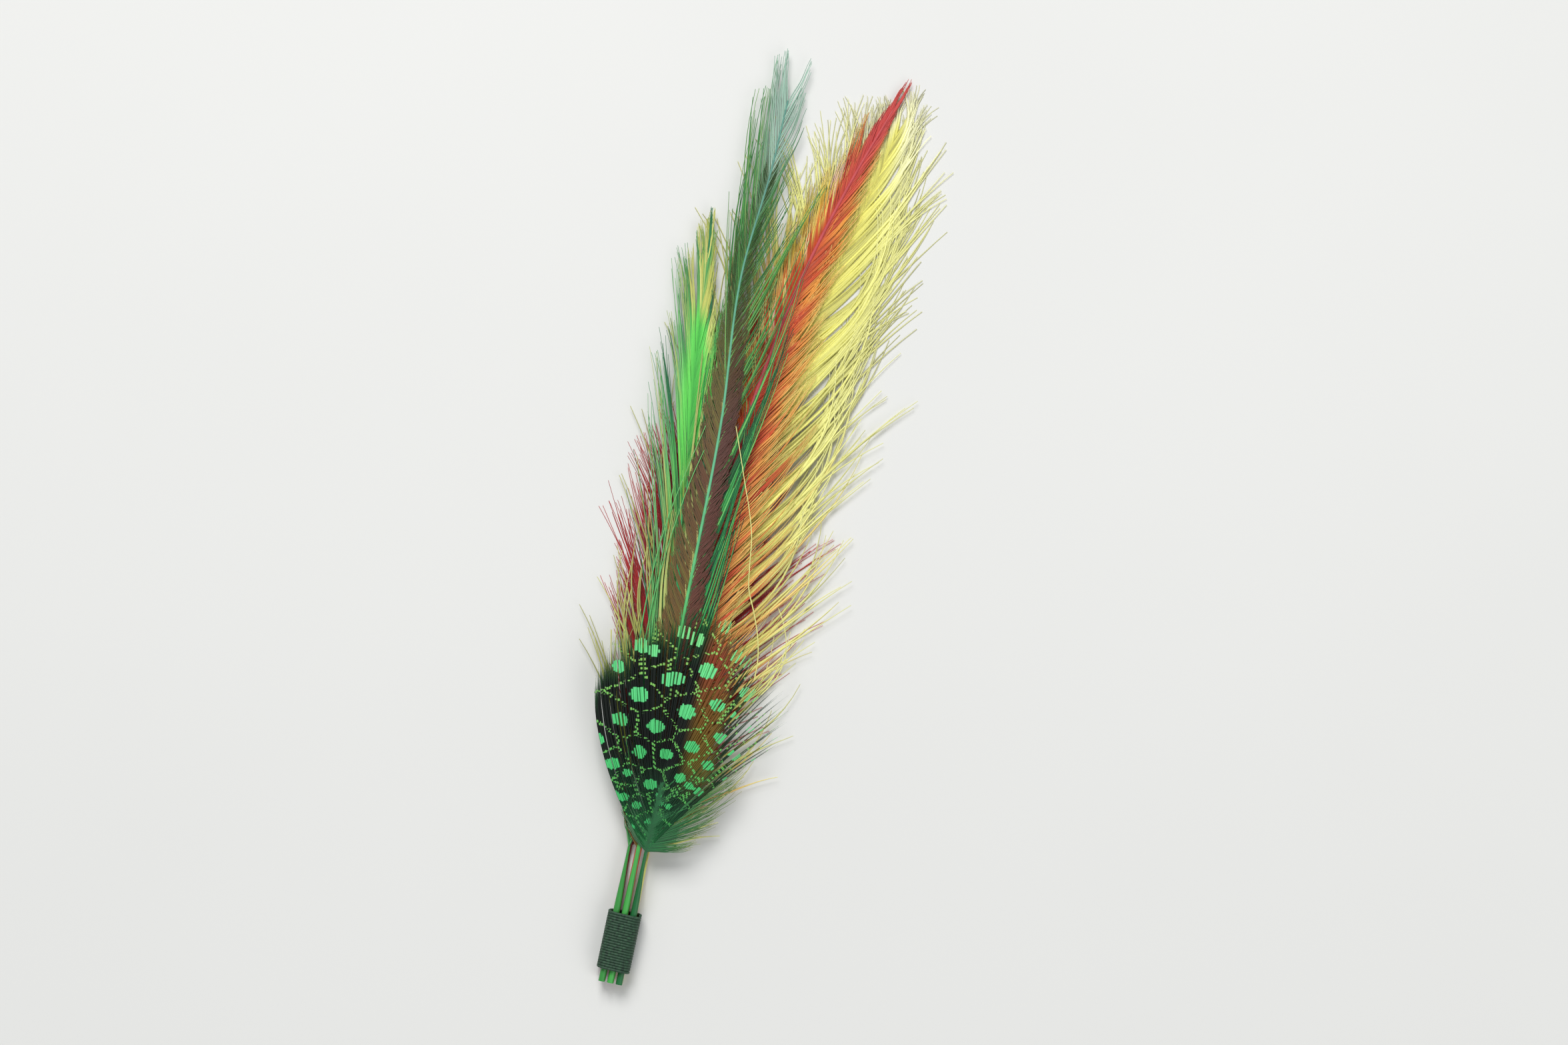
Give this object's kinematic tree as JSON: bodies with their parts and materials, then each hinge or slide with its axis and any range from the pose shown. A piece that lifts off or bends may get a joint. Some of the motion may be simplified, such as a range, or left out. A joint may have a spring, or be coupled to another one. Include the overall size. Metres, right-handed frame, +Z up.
{
  "type": "dyed feather bunch",
  "caption": "Trimming bunch of dyed hackles behind a spotted guinea fowl feather, with the quills bound by thread, lying flat on its back.",
  "frame": {"origin": "under the middle of the bunch's box, on the surface it lies on", "axes": "+Y along the feathers from the quills to the tips, +X across the vanes, +Z up out of the front of the bunch"},
  "size_m": [0.048, 0.1546, 0.0064],
  "materials": {
    "guinea_feather": "spotted dark green feather, satin",
    "green_hackle": "brown centred green feather, satin",
    "bright_green_hackle": "bright green feather, glossy",
    "orange_hackle": "orange red feather, satin",
    "yellow_hackle": "yellow feather, satin",
    "red_hackle": "dark red feather, satin",
    "binding_thread": "waxed thread"
  },
  "bodies": {
    "root": {"guinea_feather": "guinea_feather", "green_hackle": "green_hackle", "bright_green_hackle": "bright_green_hackle", "orange_hackle": "orange_hackle", "yellow_hackle": "yellow_hackle", "red_hackle": "red_hackle", "binding": "binding_thread"}
  },
  "joints": []
}
